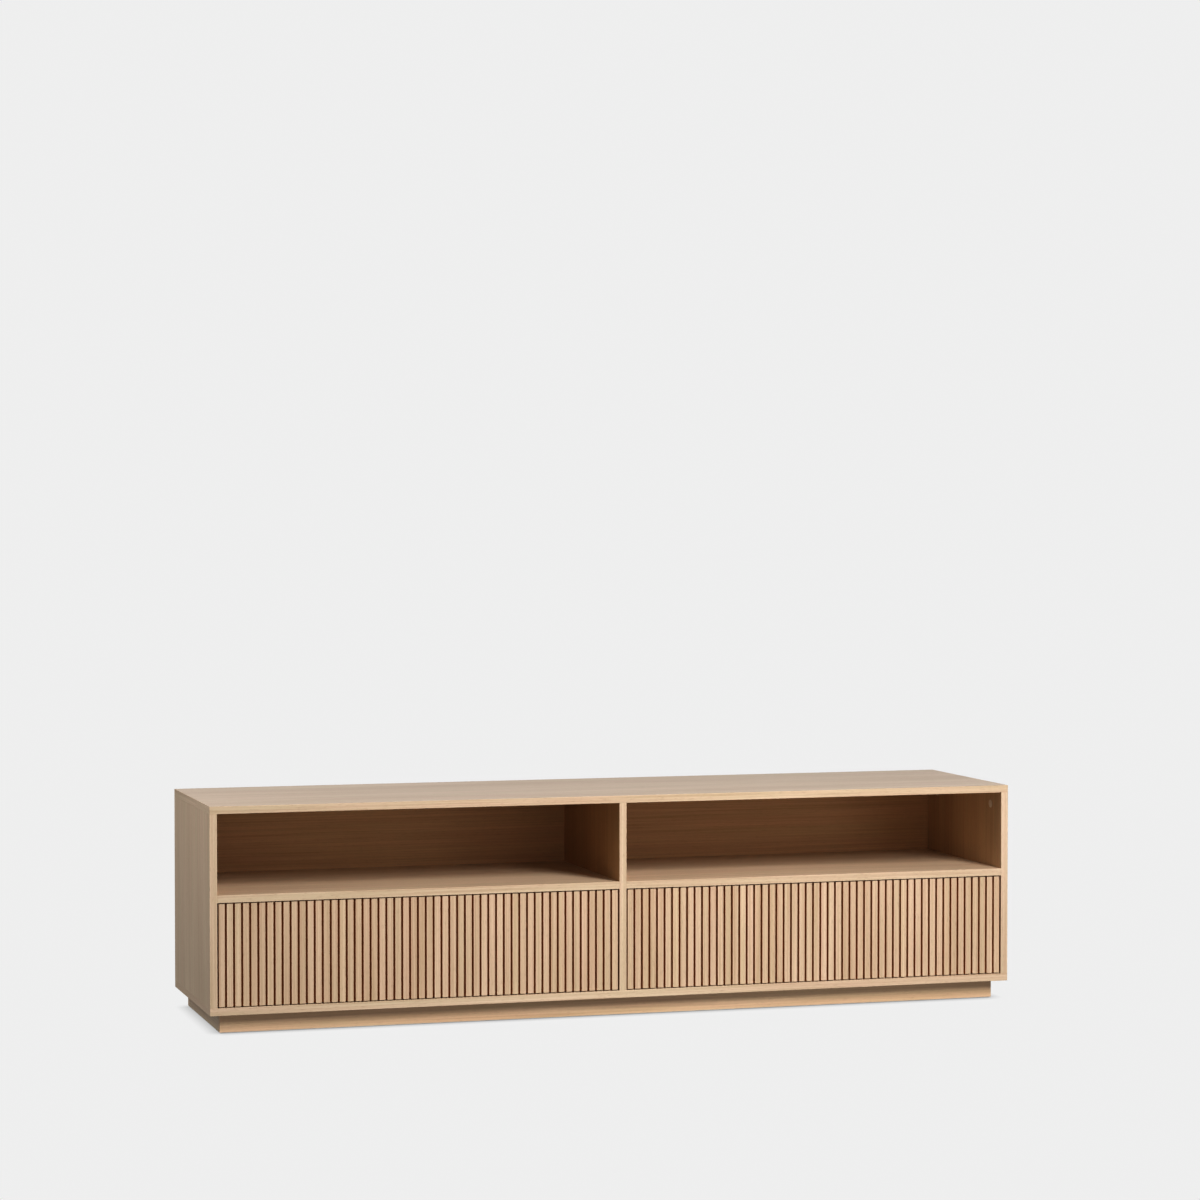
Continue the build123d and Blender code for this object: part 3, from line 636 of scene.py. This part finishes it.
class CABINET_OT_plinth(bpy.types.Operator):
    """Finishes the plinth: oak outside, pine rails and blocks inside, and its glides"""

    bl_idname = "cabinet.plinth"
    bl_label = "Finish the plinth"

    def execute(self, context):
        # the front and back rails take painted light, lighter and warmer
        lengthways = oak_for("oak_plinth_lengthways", "x", shift=41.0, tone=painted_light_tint(PLINTH_PAINTED_LIGHT))
        across = oak_for("oak_plinth_across", "y", shift=43.0)
        pine = plain_wood("planed_pine", "y", *PINE, roughness=0.6, band=6 * MM)
        dress("plinth_front_rail", lengthways)
        dress("plinth_back_rail", lengthways)
        dress("plinth_left_rail", across)
        dress("plinth_right_rail", across)
        dress("plinth_cross_rails", pine)
        dress("plinth_corner_blocks", pine)
        dress("floor_glides", moulded("polyethylene_glides", "#5C5048", roughness=0.5, grit=0.6 * MM))
        return {"FINISHED"}


class CABINET_OT_runners(bpy.types.Operator):
    """Finishes the ball-bearing runners in zinc plated steel"""

    bl_idname = "cabinet.runners"
    bl_label = "Finish the runners"

    def execute(self, context):
        zinc = metal("zinc_plated_steel", ZINC, roughness=0.38, brush=0.8 * MM)
        balls = metal("polished_ball_steel", "#D0D2D4", roughness=0.2, brush=0.8 * MM)
        for hand in ("left", "right"):
            for name in ("cabinet_runners", "middle_runners", "drawer_runners"):
                dress(f"{hand}_{name}", zinc)
            for name in ("outer_ball_cages", "inner_ball_cages"):
                dress(f"{hand}_{name}", balls)
        return {"FINISHED"}


class CABINET_OT_fittings(bpy.types.Operator):
    """Finishes the cams, bolts, cover caps, dowels and screws"""

    bl_idname = "cabinet.fittings"
    bl_label = "Finish the fittings"

    def execute(self, context):
        screw_steel = metal("zinc_plated_screws", "#B4B0A0", roughness=0.35, brush=0.4 * MM)
        beech = plain_wood("beech_dowels", "z", *BEECH, roughness=0.65, band=2 * MM)
        for name in (
            "cam_bolts", "runner_screws", "latch_screws", "plinth_screws",
            "left_drawer_screws", "right_drawer_screws",
        ):
            dress(name, screw_steel)
        dress("cam_locks", metal("die_cast_zinc", "#9C9C9A", roughness=0.5, brush=1.5 * MM))
        dress("cam_cover_caps", moulded("oak_coloured_caps", "#E6D3BC", roughness=0.5, grit=0.5 * MM))
        for name in ("dowels", "left_drawer_dowels", "right_drawer_dowels"):
            dress(name, beech)
        return {"FINISHED"}


class CABINET_OT_latches(bpy.types.Operator):
    """Finishes the push latches: grey moulded housings, sprung plungers and steel strike plates"""

    bl_idname = "cabinet.latches"
    bl_label = "Finish the push latches"

    def execute(self, context):
        grey = moulded("grey_acetal", "#8E9092", roughness=0.45, grit=0.6 * MM)
        white = moulded("white_acetal", "#D8D8D4", roughness=0.4, grit=0.6 * MM)
        steel = metal("spring_wire", "#8B8C8E", roughness=0.3, brush=0.3 * MM)
        strike = metal("zinc_plated_strike", ZINC, roughness=0.35, brush=0.8 * MM)
        for hand in ("left", "right"):
            dress(f"{hand}_latch_housing", grey)
            dress(f"{hand}_latch_plunger", white)
            dress(f"{hand}_latch_strike", strike)
            low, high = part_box(f"{hand}_latch_spring")
            spring = coil_spring(f"{hand}_coil_spring", low, high, SPRING_TURNS, WIRE_RADIUS, steel)
            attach(spring, "carcass")
            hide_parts(f"{hand}_latch_spring")
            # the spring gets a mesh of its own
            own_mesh(spring)
        return {"FINISHED"}


def softbox(name, place, aim, size, power, spread, shielded):
    """A large soft light at a place, turned towards a point, hidden from the camera.

    A grid on its front narrows its beam to `spread` degrees. Flags keep its light off what the collection
    `shielded` leaves out.
    """
    data = bpy.data.lights.new(name, "AREA")
    data.shape = "RECTANGLE"
    data.size, data.size_y = size
    data.energy = power
    data.spread = math.radians(spread)
    lamp = bpy.data.objects.new(name, data)
    lamp.location = place
    lamp.rotation_euler = (Vector(aim) - Vector(place)).to_track_quat("-Z", "Y").to_euler()
    lamp.visible_camera = False
    lamp.visible_glossy = False
    lamp.light_linking.receiver_collection = shielded
    bpy.context.scene.collection.objects.link(lamp)


class CABINET_OT_stage(bpy.types.Operator):
    """Sets the glowing floor, the pale surroundings, the soft lights and the camera"""

    bl_idname = "cabinet.stage"
    bl_label = "Set the stage"

    def execute(self, context):
        scene = context.scene
        settings = scene.cabinet_stage
        table = self.make_floor(settings)
        self.make_lights(scene, settings, table)
        self.make_camera(scene, settings)
        return {"FINISHED"}

    def make_floor(self, settings):
        """A wide light table: white acrylic that glows, so that it carries only a faint shadow."""
        shape = bmesh.new()
        # one triangle, so that no seam runs across it
        corners = [(x * TABLE_REACH, y * TABLE_REACH, 0) for x, y in ((-2, -1), (2, -1), (0, 2))]
        shape.faces.new([shape.verts.new(corner) for corner in corners])
        material, tree, shader = new_material("glowing_white_acrylic")
        table = finished_piece("light_table", shape, [material])
        pale = linear(settings.backdrop_colour)
        shader.inputs["Base Color"].default_value = (0.0, 0.0, 0.0, 1.0)
        shader.inputs["Roughness"].default_value = 1.0
        shader.inputs["Specular IOR Level"].default_value = 0.0
        shader.inputs["Emission Color"].default_value = (1.0, 1.0, 1.0, 1.0)
        # it looks as pale as the backdrop, and lights the cabinet more gently
        seen = node(tree, "ShaderNodeLightPath").outputs["Is Camera Ray"]
        glow = node(
            tree, "ShaderNodeMapRange", {"To Min": settings.table_light, "To Max": pale[0]}, Value=seen
        ).outputs["Result"]
        # a faint contact shadow
        openness = node(
            tree, "ShaderNodeAmbientOcclusion", {"samples": 16, "Distance": SHADOW_WIDTH}
        ).outputs["AO"]
        shade = node(tree, "ShaderNodeMapRange", {"To Min": SHADOW_LEVEL}, Value=openness).outputs["Result"]
        dimmed = node(
            tree, "ShaderNodeMath", {"operation": "MULTIPLY"}, in_0=glow, in_1=shade
        ).outputs["Value"]
        tree.links.new(dimmed, shader.inputs["Emission Strength"])
        return table

    def make_lights(self, scene, settings, table):
        """Even white light all round, a large key softbox in front, and weaker ones low, behind and left."""
        world = bpy.data.worlds.new("studio_light")
        world.use_nodes = True
        tree = world.node_tree
        seen = tree.nodes["Background"]
        seen.inputs["Color"].default_value = linear(settings.backdrop_colour)
        # the backdrop looks as pale as the floor, and lights the cabinet more gently
        shed = node(
            tree, "ShaderNodeBackground", {"Color": (1.0, 1.0, 1.0, 1.0), "Strength": settings.room_light}
        )
        ray = node(tree, "ShaderNodeLightPath").outputs["Is Diffuse Ray"]
        mixed = node(
            tree,
            "ShaderNodeMixShader",
            Fac=ray,
            in_1=seen.outputs["Background"],
            in_2=shed.outputs["Background"],
        )
        tree.links.new(mixed.outputs["Shader"], tree.nodes["World Output"].inputs["Surface"])
        scene.world = world
        # flags keep the softboxes off the table, so that it stays evenly pale
        shielded = bpy.data.collections.new("shielded_from_softboxes")
        shielded.objects.link(table)
        shielded.collection_objects[0].light_linking.link_state = "EXCLUDE"
        softbox(
            "key_light",
            place=settings.key_place,
            aim=(-0.15, -0.2, 0.2),
            size=(1.1, 1.7),
            power=settings.key_power,
            spread=116,
            shielded=shielded,
        )
        softbox(
            "low_light",
            place=(2.0, -3.2, 0.35),
            aim=(0.1, 0.0, 0.2),
            size=(1.0, 0.5),
            power=settings.low_power,
            spread=180,
            shielded=shielded,
        )
        softbox(
            "back_light",
            place=(2.1, 2.8, 0.5),
            aim=(0.1, 0.2, 0.26),
            size=(1.6, 0.9),
            power=settings.back_power,
            spread=180,
            shielded=shielded,
        )
        softbox(
            "fill_light",
            place=(-1.9, -0.3, 1.3),
            aim=(-0.9, 0.0, 0.45),
            size=(0.6, 0.6),
            power=settings.fill_power,
            spread=140,
            shielded=shielded,
        )

    def make_camera(self, scene, settings):
        """Stands the camera to the left of the cabinet, above its top, with a long lens."""
        data = bpy.data.cameras.new("camera")
        data.lens = settings.lens
        data.sensor_width = SENSOR_WIDTH
        data.clip_end = 5 * TABLE_REACH
        camera = bpy.data.objects.new("camera", data)
        camera.location = settings.camera_place
        camera.rotation_euler = (math.radians(90) - settings.camera_tilt, 0, -settings.camera_heading)
        scene.collection.objects.link(camera)
        scene.camera = camera
        scene.view_settings.view_transform = "Standard"
        scene.view_settings.gamma = settings.view_gamma


STEPS = (
    CABINET_OT_stage,
    CABINET_OT_panels,
    CABINET_OT_edging,
    CABINET_OT_fronts,
    CABINET_OT_boxes,
    CABINET_OT_plinth,
    CABINET_OT_runners,
    CABINET_OT_fittings,
    CABINET_OT_latches,
)


class CABINET_PT_sidebar(bpy.types.Panel):
    """Lists the settings and the steps in the 3D view's sidebar"""

    bl_label = "Media cabinet"
    bl_idname = "CABINET_PT_sidebar"
    bl_space_type = "VIEW_3D"
    bl_region_type = "UI"
    bl_category = "Cabinet"

    def draw(self, context):
        for settings in (context.scene.cabinet_finish, context.scene.cabinet_stage):
            box = self.layout.box()
            for name in settings.__annotations__:
                box.prop(settings, name)
        for step in STEPS:
            self.layout.operator(step.bl_idname)


CLASSES = (CabinetFinish, CabinetStage, *STEPS, CABINET_PT_sidebar)


def register():
    for cls in CLASSES:
        bpy.utils.register_class(cls)
    bpy.types.Scene.cabinet_finish = PointerProperty(type=CabinetFinish)
    bpy.types.Scene.cabinet_stage = PointerProperty(type=CabinetStage)


def unregister():
    del bpy.types.Scene.cabinet_stage
    del bpy.types.Scene.cabinet_finish
    for cls in reversed(CLASSES):
        bpy.utils.unregister_class(cls)


def main():
    register()
    for step in STEPS:
        group, name = step.bl_idname.split(".")
        getattr(getattr(bpy.ops, group), name)()


if __name__ == "__main__":
    main()
